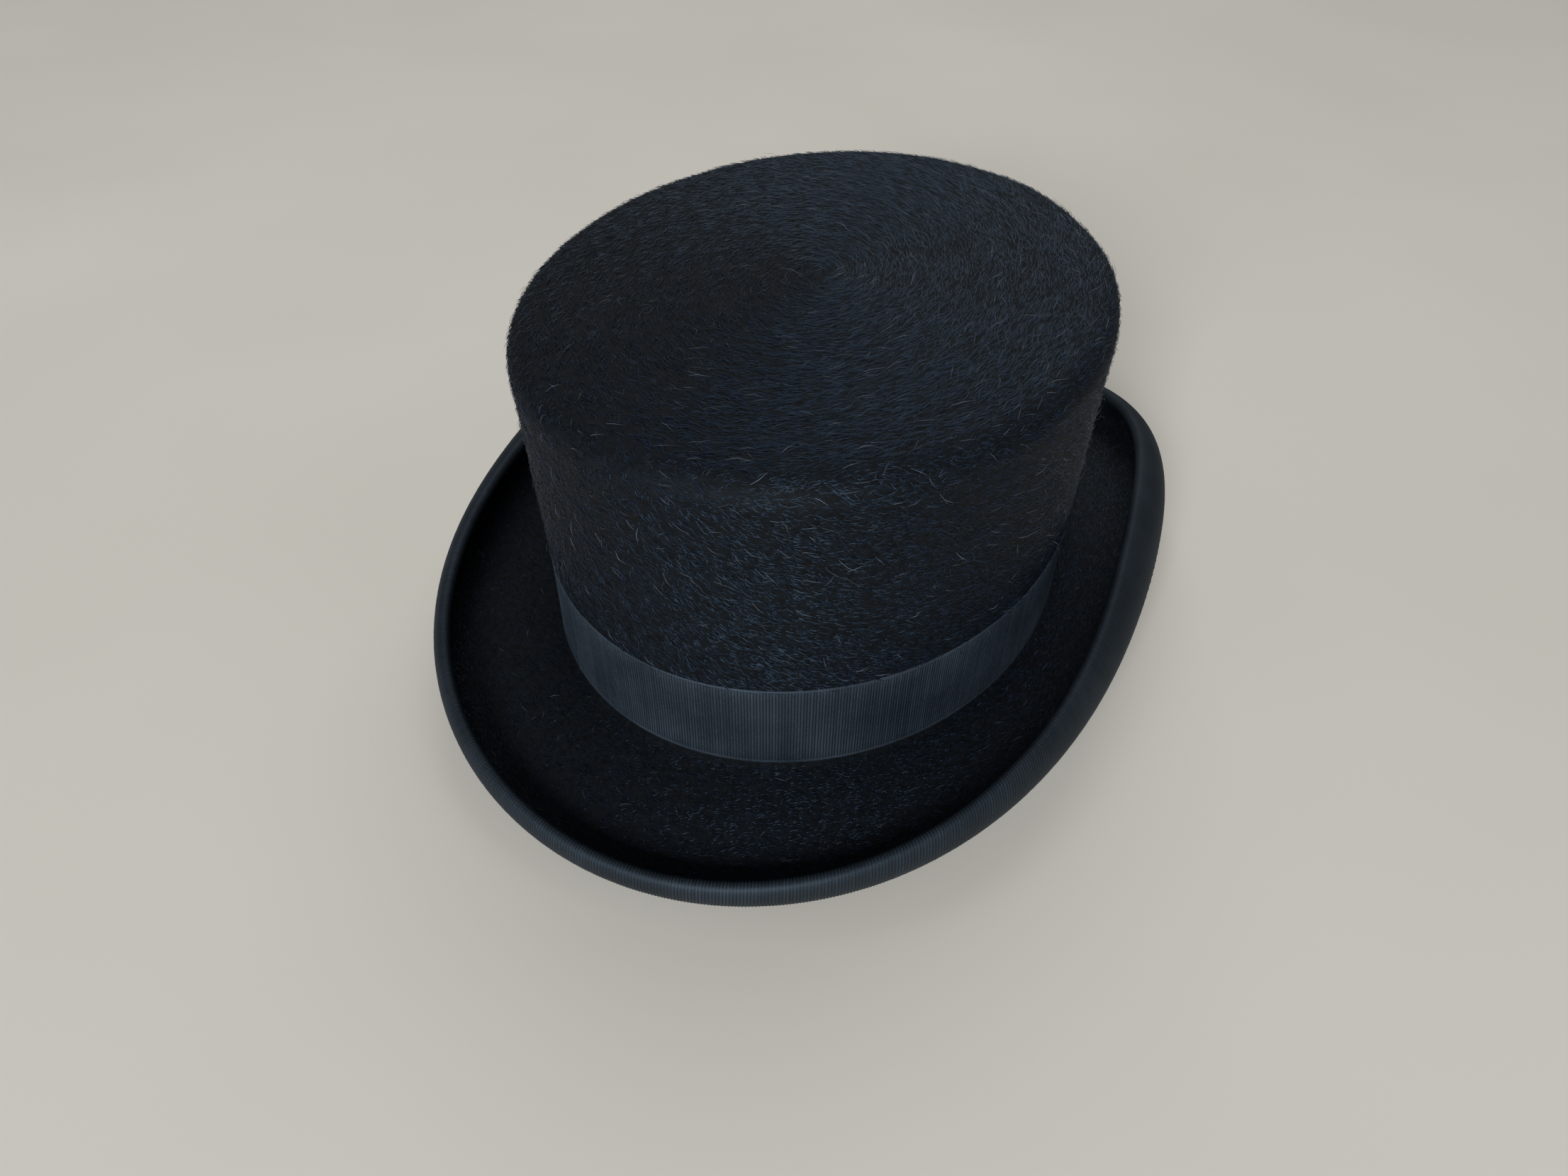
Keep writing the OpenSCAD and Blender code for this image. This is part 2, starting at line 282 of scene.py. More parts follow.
def grid_normals(points, wrap=True):
    """Unit normals of a grid whose rows run around the hat, facing out of an anticlockwise section."""
    if wrap:
        around = np.roll(points, -1, 0) - np.roll(points, 1, 0)
    else:
        around = np.gradient(points, axis=0)
    normals = np.cross(around, np.gradient(points, axis=1))
    return normals / np.maximum(np.linalg.norm(normals, axis=2, keepdims=True), 1e-9)


# ---------------------------------------------------------------- materials
def new_material(name, roughness, specular=0.5, **values):
    """A material and its node tree, with a Principled shader whose uniform values are set."""
    made = bpy.data.materials.new(name)
    made.use_nodes = True
    tree = made.node_tree
    shader = tree.nodes["Principled BSDF"]
    shader.inputs["Roughness"].default_value = roughness
    shader.inputs["Specular IOR Level"].default_value = specular
    for key, value in values.items():
        shader.inputs[key.replace("_", " ")].default_value = value
    return made, tree, shader


def texture(tree, kind, stretch=(1, 1, 1), turn=(0, 0, 0), **values):
    """A texture node in the object's own coordinates, in metres, scaled by stretch on each axis."""
    place = tree.nodes.new("ShaderNodeTexCoord")
    mapping = tree.nodes.new("ShaderNodeMapping")
    mapping.inputs["Scale"].default_value = stretch
    mapping.inputs["Rotation"].default_value = turn
    made = tree.nodes.new(kind)
    tree.links.new(place.outputs["Object"], mapping.inputs["Vector"])
    tree.links.new(mapping.outputs["Vector"], made.inputs["Vector"])
    for key, value in values.items():
        made.inputs[key].default_value = value
    return made


def ramp(tree, value, low, high, dark, light):
    """A colour that runs from dark to light as value runs from low to high."""
    made = tree.nodes.new("ShaderNodeValToRGB")
    made.color_ramp.elements[0].position = low
    made.color_ramp.elements[1].position = high
    made.color_ramp.elements[0].color = (*dark, 1)
    made.color_ramp.elements[1].color = (*light, 1)
    tree.links.new(value, made.inputs["Fac"])
    return made.outputs["Color"]


def bump(tree, shader, height, strength, distance):
    """Fine relief on a shader, from a height that runs from 0 to 1 over a distance in metres."""
    made = tree.nodes.new("ShaderNodeBump")
    made.inputs["Strength"].default_value = strength
    made.inputs["Distance"].default_value = distance
    tree.links.new(height, made.inputs["Height"])
    tree.links.new(made.outputs["Normal"], shader.inputs["Normal"])


def stored_shade(tree):
    """The shade that set_shade stored at each point."""
    made = tree.nodes.new("ShaderNodeAttribute")
    made.attribute_name = "shade"
    return made


def felt_material():
    """The felt under the nap: nearly black, mottled where the fur parts."""
    made, tree, shader = new_material("fur_felt", 0.7, 0.12)
    mottle = texture(tree, "ShaderNodeTexNoise", Scale=420, Detail=6, Roughness=0.65)
    dark, light = (0.0014, 0.0018, 0.0024), (0.006, 0.0075, 0.0095)
    colour = ramp(tree, mottle.outputs["Fac"], 0.35, 0.72, dark, light)
    tree.links.new(colour, shader.inputs["Base Color"])
    bump(tree, shader, mottle.outputs["Fac"], 0.6, 0.0006)
    return made


def fur_material(name, dark, light, roughness):
    """Single hairs: darker at the root, and each a little lighter or darker than the next."""
    made, tree, shader = new_material(name, roughness, 0.34, Specular_Tint=(0.54, 0.78, 1.0, 1))
    colour = ramp(tree, stored_shade(tree).outputs["Fac"], 0.0, 1.0, dark, light)
    tree.links.new(colour, shader.inputs["Base Color"])
    return made


def ribbon_material():
    """Ribbed ribbon: uneven dark yarn, multiplied by the stored shade, which holds painted shade in the
    grooves.
    """
    made, tree, shader = new_material("ribbed_ribbon", 0.62, 0.38, Specular_Tint=(0.66, 0.84, 1.0, 1))
    yarn = texture(tree, "ShaderNodeTexNoise", Scale=1500, Detail=4, Roughness=0.6)
    wear = texture(tree, "ShaderNodeTexNoise", Scale=45, Detail=3)
    mixed = tree.nodes.new("ShaderNodeMath")
    mixed.operation = "MULTIPLY_ADD"
    mixed.inputs[1].default_value = 0.6  # the yarn's share, beside the wear's whole
    tree.links.new(yarn.outputs["Fac"], mixed.inputs[0])
    tree.links.new(wear.outputs["Fac"], mixed.inputs[2])
    dark, light = (0.0108, 0.0145, 0.0195), (0.0355, 0.0450, 0.0575)
    colour = ramp(tree, mixed.outputs[0], 0.55, 1.05, dark, light)
    # the stored shade darkens the colour: painted shade in the rib grooves, and over the whole binding
    scaled = tree.nodes.new("ShaderNodeVectorMath")
    scaled.operation = "MULTIPLY"
    tree.links.new(colour, scaled.inputs[0])
    tree.links.new(stored_shade(tree).outputs["Vector"], scaled.inputs[1])
    tree.links.new(scaled.outputs["Vector"], shader.inputs["Base Color"])
    bump(tree, shader, yarn.outputs["Fac"], 0.35, 0.0003)
    return made


def leather_material():
    """Brown leather with a fine grain and a patchy patina."""
    made, tree, shader = new_material("sweatband_leather", 0.42, 0.5)
    grain = texture(tree, "ShaderNodeTexVoronoi", Scale=1100)
    patina = texture(tree, "ShaderNodeTexNoise", Scale=38, Detail=6, Roughness=0.6)
    colour = ramp(tree, patina.outputs["Fac"], 0.3, 0.72, (0.045, 0.019, 0.009), (0.115, 0.055, 0.026))
    tree.links.new(colour, shader.inputs["Base Color"])
    bump(tree, shader, grain.outputs["Distance"], 0.35, 0.0005)
    return made


def satin_material():
    """Cream satin, with a fine weave that shines along its thread."""
    made, tree, shader = new_material("satin", 0.33, 0.5, Anisotropic=0.6, Sheen_Weight=0.25)
    weave = texture(tree, "ShaderNodeTexNoise", stretch=(1, 1, 6), Scale=700, Detail=3)
    colour = ramp(tree, weave.outputs["Fac"], 0.3, 0.75, (0.60, 0.55, 0.46), (0.74, 0.70, 0.61))
    tree.links.new(colour, shader.inputs["Base Color"])
    bump(tree, shader, weave.outputs["Fac"], 0.15, 0.0002)
    return made


def plain_fibre(name, dark, light, roughness, scale=1800):
    """Thread, tape, cord or card: a fine mottle of two shades."""
    made, tree, shader = new_material(name, roughness, 0.4)
    fibre = texture(tree, "ShaderNodeTexNoise", Scale=scale, Detail=4, Roughness=0.6)
    tree.links.new(ramp(tree, fibre.outputs["Fac"], 0.35, 0.7, dark, light), shader.inputs["Base Color"])
    bump(tree, shader, fibre.outputs["Fac"], 0.3, 0.0002)
    return made


FELT_LOOK = felt_material()
RIBBON_LOOK = ribbon_material()
LEATHER_LOOK = leather_material()
SATIN_LOOK = satin_material()
THREAD_LOOK = plain_fibre("black_thread", (0.008, 0.009, 0.012), (0.03, 0.033, 0.04), 0.5)
BROWN_THREAD_LOOK = plain_fibre("brown_thread", (0.10, 0.055, 0.03), (0.20, 0.12, 0.07), 0.5)
TAPE_LOOK = plain_fibre("black_tape", (0.006, 0.007, 0.009), (0.02, 0.022, 0.027), 0.7)
TICKET_LOOK = plain_fibre("blank_card", (0.66, 0.62, 0.52), (0.78, 0.75, 0.67), 0.75, 900)
FUR_LOOK = fur_material("fur", (0.0010, 0.0017, 0.0034), (0.0125, 0.0208, 0.0385), 0.42)
GUARD_LOOK = fur_material("guard_hair", (0.02, 0.024, 0.030), (0.135, 0.155, 0.180), 0.4)


# ---------------------------------------------------------------- the felt body
def spread(start, end, count):
    """Evenly spaced values in a row."""
    return np.linspace(start, end, count)[None]


def felt_grid(angle):
    """The felt's section at each angle, from the middle of its inner face round the brim to the middle
    of the tip, and how far each point may be moved off the true shape."""
    top = EDGE_HEIGHT + INNER_EDGE
    under, upper = under_radius(angle), upper_radius(angle)
    corner = np.radians(spread(-90, 0, 7))
    share = spread(0, 1, 46)
    back = share[:, :-1]
    runs = [
        (tip_face(angle, spread(INNERMOST, 0.96, 10), top, 0), 0),
        (tip_edge(angle, INNER_EDGE, np.radians(spread(90, 0, 7))), 0),
        (wall(angle, FELT, spread(EDGE_HEIGHT - 4, 4, 12)), 0),
        (out_from_base(angle, FELT * np.sin(corner), -FELT * np.cos(corner)), 0),
        (brim_face(angle, under, 0, face_end(angle, under) * share[:, 1:]), 0),
        (brim_rim(angle, FELT / 2, np.radians(spread(20, 160, 8))), 0),
        (brim_face(angle, upper, 0, face_end(angle, upper) * (1 - back) + FOOT_REACH * back), 0),
        (out_from_base(angle, spread(FOOT_REACH, FOOT_FILLET, 2), FOOT_FILLET + 0 * angle), 0),
        (wall(angle, 0, np.concatenate([spread(FOOT_REACH, 31, 8), spread(33, EDGE_HEIGHT, 26)], 1)), 1),
        (tip_edge(angle, TIP_EDGE, np.radians(spread(6, 90, 14))), 1),
        (tip_face(angle, spread(0.985, INNERMOST, 32), CROWN_HEIGHT, TIP_DOME), 1),
    ]
    points = np.concatenate([r for r, _ in runs], 1)
    freedom = np.concatenate([np.full(r.shape[1], f) for r, f in runs])
    return points, freedom


def unevenness(points):
    """Gentle hand-made waviness of the crown, in millimetres, growing above the band."""
    height = np.clip((points[..., 2] - UNEVEN_ABOVE) / 20, 0, 1)
    return 0.32 * waves(points, 46, 3) * height


def make_felt():
    """The crown, tip and brim in one skin, closed at the middle of the tip inside and out."""
    angle, _ = even_circle(300, lambda a: out_from_base(a, reach(a), 0 * a))
    points, freedom = felt_grid(angle)
    normals = grid_normals(points)
    points = points + normals * (unevenness(points) * freedom)[..., None]
    n, m = points.shape[:2]
    ends = np.array([[0, 0, points[:, 0, 2].mean()], [0, 0, points[:, -1, 2].mean() + 0.01]])
    every = np.concatenate([points.reshape(-1, 3), ends])
    row = np.arange(n) * m
    faces = [grid_faces(n, m, True, False), fan_faces(row[::-1], n * m), fan_faces(row + m - 1, n * m + 1)]
    return make_piece("felt_visual", every, faces, FELT_LOOK, replaced=["felt_body"], slot="fur_felt")


# ---------------------------------------------------------------- ribbed ribbons
def rib_relief(count, samples, depth, seed):
    """Height of each place across the ribs: rounded ribs of slightly uneven strength, sharp grooves."""
    draw = np.random.default_rng(seed)
    phase = np.arange(count * samples) % samples / samples
    strength = np.repeat(draw.uniform(0.8, 1.0, count), samples)
    return depth * strength * np.sqrt(np.abs(np.sin(np.pi * phase)))


def painted_groove_shade(relief, depth):
    """Painted shade: the grooves between the ribs are darker than their crests."""
    return 0.03 + 1.15 * np.clip(relief / depth, 0, 1) ** 1.8


def make_band():
    """The ribbon around the foot of the crown, with upright ribs and a corded selvedge."""
    ribs, samples, depth = 703, 3, RIB_DEPTH
    angle, length = even_circle(ribs * samples, lambda a: wall(a, 0, BAND_FOOT + BAND_HEIGHT / 2 + 0 * a))
    relief = rib_relief(ribs, samples, depth, 5)[:, None]
    heights = np.array([0, 0.12, 0.45, 0.85, 1.1, 4, 9, 15, 21, 26, 28.9, 29.15, 29.55, 29.88, 30])[None]
    ribbed = np.array([0, 0, 0.2, 0.1, 1, 1, 1, 1, 1, 1, 1, 0.1, 0.2, 0, 0])[None]
    bead = np.array([0.2, 0.45, 0.58, 0.40, 0, 0, 0, 0, 0, 0, 0, 0.40, 0.58, 0.45, 0.2])[None]
    out = np.where(ribbed < 1, bead + relief * ribbed, RIBBON - depth + relief)
    outer = wall(angle, -out, heights + BAND_FOOT)
    wander = 0.16 * waves(outer[:, :1], 55, 8)
    outer[..., 2] += wander * (heights > 15)
    inner = wall(angle, 0, spread(BAND_FOOT + BAND_HEIGHT, BAND_FOOT, 3))
    made = hoop("hat_band_visual", np.concatenate([outer, inner], 1), RIBBON_LOOK,
                replaced=["hat_band"], slot="ribbon")
    # painted shade: the grooves are darker than the crests, less so on the corded selvedge
    light = painted_groove_shade(relief, depth) * np.where(ribbed < 1, 0.4, 1) + np.where(ribbed < 1, 0.6, 0)
    set_shade(made, np.concatenate([light, np.full(inner.shape[:2], HIDDEN)], 1))
    return made


def make_binding():
    """The ribbon folded over the brim's rolled edge, with its ribs running over the edge."""
    ribs, samples, depth = 951, 2, RIB_DEPTH

    def edge(a):
        return brim_face(a, under_radius(a), RIBBON, face_end(a, under_radius(a)))

    angle, length = even_circle(ribs * samples, edge)
    under, upper = under_radius(angle), upper_radius(angle)
    under_end, upper_end = face_end(angle, under), face_end(angle, upper)
    relief = rib_relief(ribs, samples, depth, 6)[:, None] - depth
    share = np.concatenate([[0, 0.004, 0.02, 0.035, 0.05], np.linspace(0.1, 1, 13)])[None]
    border = np.concatenate([[-0.45, -0.15, 0.0, -0.2], np.ones(14)])[None]
    lift = RIBBON + np.where(border < 1, border, relief)
    far = np.array([1, 0.75, 0.5, 0.25, 0.13, 0.09, 0.05, 0.01, 0])[None]
    far_border = np.array([1, 1, 1, 1, 1, -0.2, 0.0, -0.15, -0.45])[None]
    lift_far = RIBBON + np.where(far_border < 1, far_border, relief)
    rim_lift = FELT / 2 + RIBBON + relief
    runs = [
        brim_face(angle, under, lift, under_end - BIND_UNDER * (1 - share)),
        brim_rim(angle, rim_lift, np.radians(spread(30, 150, 5))),
        brim_face(angle, upper, -lift_far, upper_end - BIND_OVER * (1 - far)),
        brim_face(angle, upper, -0.01, upper_end - BIND_OVER * (1 - spread(0, 1, 3))),
        brim_rim(angle, FELT / 2 + 0.01, np.radians(spread(150, 30, 3))),
        brim_face(angle, under, 0.01, under_end - BIND_UNDER * spread(0, 1, 8)),
    ]
    made = hoop("brim_binding_visual", np.concatenate(runs, 1), RIBBON_LOOK,
                replaced=["brim_binding"], slot="ribbon")
    hidden = sum(run.shape[1] for run in runs[3:])
    plain = np.concatenate([border < 1, np.zeros((1, 5), bool), far_border < 1], 1)
    # painted shade: the whole binding is darkened to 0.52 of the band's tone, and its grooves are darker
    # than its crests
    light = 0.52 * np.where(plain, 0.7, painted_groove_shade(relief + depth, depth))
    set_shade(made, np.concatenate([light, np.full((len(angle), hidden), HIDDEN)], 1))
    return made


# ---------------------------------------------------------------- the nap
def tip_surface(angle, share):
    """The tip from its middle (share 0) to the start of its rounded edge (share 1)."""
    return tip_face(angle, share, CROWN_HEIGHT, TIP_DOME)


def shell_surface(angle, share):
    """The crown from the edge of its tip (share 0), over the rounded edge, to the band (share 1)."""
    bend = TIP_EDGE * math.pi / 2
    along = share * (bend + EDGE_HEIGHT - BAND_FOOT - BAND_HEIGHT + 0.6)
    over = tip_edge(angle, TIP_EDGE, np.pi / 2 - np.minimum(along, bend) / TIP_EDGE)
    down = wall(angle, 0, EDGE_HEIGHT - np.maximum(along - bend, 0))
    return np.where((along < bend)[..., None], over, down)


def upper_surface(angle, share):
    """The brim's upper face from the crown (share 0) to the binding's border (share 1)."""
    radius = upper_radius(angle)
    reach = face_end(angle, radius) - BIND_OVER + 0.8
    return brim_face(angle, radius, 0, 0.5 + share * (reach - 0.5))


def lower_surface(angle, share):
    """The brim's under face from the binding's border (share 0) to the crown (share 1)."""
    radius = under_radius(angle)
    reach = face_end(angle, radius) - BIND_UNDER + 0.8
    return brim_face(angle, radius, 0, reach - share * (reach + 0.5))


def on_surface(surface, angle, share):
    """Points of a surface, with unit vectors around the hat, across the surface, and out of it."""
    step = 1e-3
    point = surface(angle, share)
    around = surface(angle + step, share) - point
    across = surface(angle, share + step) - point
    area = np.linalg.norm(np.cross(around, across), axis=-1)
    around = around / np.linalg.norm(around, axis=-1, keepdims=True)
    across = across - around * (around * across).sum(-1, keepdims=True)
    across = across / np.linalg.norm(across, axis=-1, keepdims=True)
    return point, around, across, area


def scatter(surface, count, draw):
    """Random places spread evenly over a surface."""
    angle = draw.uniform(0, 2 * np.pi, count * 3)
    share = draw.uniform(0, 1, count * 3)
    area = on_surface(surface, angle, share)[3]
    keep = np.flatnonzero(draw.uniform(0, area.max(), count * 3) < area)[:count]
    return angle[keep], share[keep]


def hairs(name, surface, count, seed, sweep, length, width, lean, material):
    """Hairs that lie along the nap. sweep is the nap's turn from around the hat towards across it, in
    degrees, with its scatter; length, width and lean are (least, most)."""
    draw = np.random.default_rng(seed)
    angle, share = scatter(surface, count, draw)
    point, around, across, _ = on_surface(surface, angle, share)
    count = len(point)
    out = np.cross(across, around)
    if surface in (tip_surface, shell_surface):
        point = point + out * unevenness(point)[:, None]
    tuft = waves(point, 5.5, seed + 1)
    turn = np.radians(sweep[0] + sweep[1] * (0.75 * tuft + draw.normal(size=count)))[:, None]
    along = around * np.cos(turn) + across * np.sin(turn)
    side = np.cross(out, along)
    tilt = np.radians(draw.uniform(*lean, count) + 3 * waves(point, 7, seed + 2))[:, None]
    reach = draw.uniform(*length, count)[:, None]
    wide = draw.uniform(*width, count)[:, None] / 2
    bow = side * reach * draw.normal(0, 0.05, count)[:, None]
    root = point - out * HAIR_ROOT
    middle = root + (along * np.cos(tilt) + out * np.sin(tilt)) * reach * 0.5 + bow
    end = root + (along * np.cos(tilt * 0.6) + out * np.sin(tilt * 0.6)) * reach
    crest = out * wide
    points = np.stack([root - side * wide, root + crest, root + side * wide,
                       middle - side * wide * 0.8, middle + crest, middle + side * wide * 0.8, end], 1)
    first = np.arange(count)[:, None] * 7
    quads = np.concatenate([first + [0, 1, 4, 3], first + [1, 2, 5, 4]])
    tips = np.concatenate([first + [3, 4, 6], first + [4, 5, 6]])
    piece = make_piece(name, points, [quads, tips], material, slot="fur_felt")
    shade = np.clip(draw.normal(0.45, 0.26, count) + 0.13 * tuft, 0.02, 1)[:, None]
    return set_shade(piece, shade * np.array([0.3, 0.3, 0.3, 0.9, 0.9, 0.9, 1])[None])


# ---------------------------------------------------------------- bow at the wearer's left
def ribbon_strip(name, path, heights, thick, relief, **options):
    """A ribbed ribbon on edge that follows path, an array of (angle, distance off the crown's wall)."""
    angle, off = path[:, :1], path[:, 1:]
    layer = wall(angle, -off, heights[None])
    normals = grid_normals(layer, wrap=False)
    half = thick / 2 - LOOP_RIB_DEPTH + relief[:, None, None]
    rims = np.ones(len(heights))
    rims[[0, -1]] = 0.35
    left = layer + normals * half * rims[None, :, None]
    right = layer - normals * half * rims[None, :, None]
    section = np.concatenate([left, right[:, ::-1]], 1)
    made = length_of_hoop(name, section, RIBBON_LOOK, **options)
    # painted shade: the loops' grooves are darker than their crests
    light = 0.25 + 0.85 * np.clip(relief / relief.max(), 0, 1)[:, None]
    return set_shade(made, light * np.ones((1, section.shape[1])))


def loop_path(start, end, count):
    """Plan of one loop: out from the knot against the band, round the fold, and back on top."""
    near, far = RIBBON + TOUCH + 0.28, RIBBON + TOUCH + 1.92
    fold = (far - near) / 2
    per_degree = math.pi / 180 * LOOP_RADIUS
    turn = np.sign(end - start)
    last = end - turn * fold / per_degree
    s = np.linspace(0, 1, count)
    parts = np.array([0.46, 0.54])
    out_angle = start + (last - start) * np.clip(s / parts[0], 0, 1)
    swing = np.clip((s - parts[0]) / (parts[1] - parts[0]), 0, 1) * np.pi
    back = np.clip((s - parts[1]) / (1 - parts[1]), 0, 1)
    angle = np.where(s > parts[1], last + (start - last) * back, out_angle)
    angle = angle + turn * fold / per_degree * np.sin(swing)
    puff = 0.22 * np.sin(np.pi * back) * (s > parts[1])
    off = (near + far) / 2 - fold * np.cos(swing) + puff
    return np.stack([np.radians(angle), off], 1)


def make_loops():
    """The two flat loops, one on each side of the knot."""
    heights = BAND_FOOT + 0.75 + LOOP_WIDTH * np.array([0, 0.012, 0.05, 0.2, 0.5, 0.8, 0.95, 0.988, 1])
    loops = []
    for k, (start, end) in enumerate(((-2 * STEP, -5 * STEP), (-STEP, 2 * STEP))):
        ribs, samples = 42, 4
        path = loop_path(start, end, ribs * samples)
        relief = rib_relief(ribs, samples, LOOP_RIB_DEPTH, 70 + k)
        loops.append(ribbon_strip(f"band_bow_loop_{k + 1}", path, heights, LOOP_THICK, relief,
                                  replaced=["band_bow"], slot="ribbon"))
    return loops


def make_knot():
    """The short ribbon wrapped around the middle of the bow."""
    ribs, samples = 26, 4
    height = BAND_FOOT + BAND_HEIGHT * (np.arange(ribs * samples) + 0.5) / (ribs * samples)
    relief = rib_relief(ribs, samples, RIB_DEPTH, 74)
    over = np.clip(np.minimum(height - BAND_FOOT, BAND_FOOT + BAND_HEIGHT - height) / 2.2, 0, 1)
    bulge = 0.35 + (2.45 + relief) * np.sqrt(1 - (1 - over) ** 2)
    angle = np.radians(np.linspace(-2 * STEP - 0.25, -STEP + 0.25, 15))[:, None]
    side = 1 - np.abs(np.linspace(-1, 1, 15)[:, None]) ** 9 * 0.25
    outer = wall(angle, -(RIBBON + TOUCH + bulge[None] * side), height[None])
    inner = wall(angle, -(RIBBON + TOUCH), height[None, ::-12])
    knot = length_of_hoop("band_knot_visual", np.concatenate([outer, inner], 1), RIBBON_LOOK,
                          replaced=["band_knot"], slot="ribbon")
    # painted shade: the knot's grooves are darker than its crests
    light = painted_groove_shade(relief, RIB_DEPTH)[None] * np.ones((15, 1))
    return set_shade(knot, np.concatenate([light, np.full(inner.shape[:2], HIDDEN)], 1))


def make_bow():
    """The flat bow at the wearer's left, over the band."""
    loops, knot = make_loops(), make_knot()


# ---------------------------------------------------------------- stitches
def capsules(name, starts, ends, lift, radius, material, **options):
    """Short round threads from starts to ends, each arched up along lift and sunk at its ends."""
    ring, rows = 8, 7
    t = np.linspace(0, 1, rows)[None, :, None]
    arch = np.sin(np.pi * t)
    along = ends - starts
    middle = starts[:, None] + along[:, None] * t + lift[:, None] * (radius * (1.5 * arch - 0.4))
    along = along / np.linalg.norm(along, axis=1, keepdims=True)
    side = np.cross(lift, along)
    side /= np.linalg.norm(side, axis=1, keepdims=True)
    turn = np.arange(ring)[None, None, :, None] * 2 * np.pi / ring
    thick = radius * (0.35 + 0.65 * np.sqrt(arch))[..., None]
    round_thread = np.cos(turn) * side[:, None, None] + np.sin(turn) * lift[:, None, None]
    points = middle[:, :, None] + thick * round_thread
    first = np.arange(len(starts))[:, None] * ring * rows
    body = grid_faces(rows, ring, False, True)
    quads = (first[:, :, None] + body[None]).reshape(-1, 4)
    start_caps = first + np.arange(ring)[None, ::-1]
    end_caps = first + ring * (rows - 1) + np.arange(ring)[None]
    return make_piece(name, points, [quads, start_caps, end_caps], material, **options)


def row_of_stitches(line, count, share, draw):
    """Start and end points of count stitches along a closed line(angle), each covering a share."""
    angle, _ = even_circle(count, line)
    step = 2 * np.pi / count
    jitter = draw.normal(0, 0.03, (count, 1)) * step
    starts = line(angle + jitter)[:, 0]
    ends = line(angle + jitter + step * share)[:, 0]
    return angle, starts, ends


def make_binding_stitches():
    """The row of stitches near the binding's border, under the brim."""
    def line(a, lift=RIBBON):
        radius = under_radius(a)
        return brim_face(a, radius, lift, face_end(a, radius) - BIND_UNDER + BIND_MARGIN)

    angle, starts, ends = row_of_stitches(line, 226, 0.72, np.random.default_rng(9))
    lift = (line(angle, RIBBON + 1) - line(angle, RIBBON))[:, 0]
    return capsules("binding_stitches_visual", starts, ends, lift, 0.24, THREAD_LOOK,
                    replaced=["binding_stitches"], slot="thread")


def make_sweatband_stitches():
    """The stitches that hold the sweatband, just above the opening."""
    def line(a):
        return wall(a, LEATHER_BACK - 0.03, SWEATBAND_SEWN + 0 * a)

    _, starts, ends = row_of_stitches(line, 150, 0.68, np.random.default_rng(10))
    middle = (starts + ends) / 2 * [1, 1, 0]
    lift = -middle / np.linalg.norm(middle, axis=1, keepdims=True)
    return capsules("sweatband_stitches_visual", starts, ends, lift, 0.27, BROWN_THREAD_LOOK,
                    replaced=["sweatband_stitches"], slot="thread")


# ---------------------------------------------------------------- the inside
def make_sweatband():
    """A leather band with a soft top edge, an embossed line below it and a butted seam at the back."""
    angle, _ = even_circle(420, lambda a: wall(a, LEATHER_FACE, 20 + 0 * a))
    top = SWEATBAND_FOOT + SWEATBAND_HEIGHT
    near_line = np.array([[35.5, 36, EMBOSSED_LINE, 36.6, 37.1, 38.5, 39.7]])
    heights = np.concatenate([spread(SWEATBAND_FOOT, 34, 18), near_line], 1)
    groove = 0.22 * np.exp(-((heights - EMBOSSED_LINE) / 0.35) ** 2)
    slack = 1 + waves(wall(angle, 0, 20 + 0 * angle), 70, 12)
    lean = 0.45 * np.clip((heights - 12) / 28, 0, 1) ** 2 * slack
    seam = 0.35 * np.exp(-((np.degrees(angle) - 90) / 0.35) ** 2) * (heights > 0.5)
    back = wall(angle, LEATHER_BACK - groove + lean - seam, heights)
    face = wall(angle, LEATHER_FACE + lean, heights)
    rise = np.radians(spread(20, 160, 6))
    lean_top = lean[:, -1:]
    middle = (LEATHER_FACE + LEATHER_BACK) / 2 + lean_top
    edge = wall(angle, middle - LEATHER / 2 * np.cos(rise), top - LEATHER / 2 + LEATHER / 2 * np.sin(rise))
    points = np.concatenate([face, edge, back[:, ::-1]], 1)
    return hoop("sweatband_visual", points, LEATHER_LOOK, replaced=["sweatband"], slot="leather")


def twisted_cord(name, line, radius, count, turns, material, **options):
    """A cord of two strands twisted together along a closed line(angle)."""
    angle, _ = even_circle(count, line)
    ring = 12
    turn = np.arange(ring)[None] * 2 * np.pi / ring
    twist = np.arange(count)[:, None] / count * 2 * np.pi * turns
    thick = radius * (0.80 + 0.20 * np.abs(np.cos(turn - twist)))
    centre = line(angle)
    flat = wall(angle, -1, centre[..., 2]) - wall(angle, 0, centre[..., 2])
    points = centre + flat * (thick * np.cos(turn))[..., None]
    points[..., 2] += thick * np.sin(turn)
    return hoop(name, points, material, **options)


def make_reed():
    """The cord along the sweatband's lower edge."""
    def line(a):
        return wall(a, (LEATHER_FACE + LEATHER_BACK) / 2, SWEATBAND_FOOT - REED_RADIUS - TOUCH + 0 * a)

    return twisted_cord("sweatband_reed_visual", line, REED_RADIUS, 900, 70, TAPE_LOOK,
                        replaced=["sweatband_reed"], slot="thread")


def make_piping():
    """The satin cord that covers the join of the lining's wall and tip."""
    def line(a):
        return tip_edge(a, INNER_EDGE - TOUCH - PIPING_RADIUS, np.radians(21) + 0 * a)

    return twisted_cord("lining_piping_visual", line, PIPING_RADIUS, 1500, 170, SATIN_LOOK,
                        replaced=["lining_piping"], slot="satin")


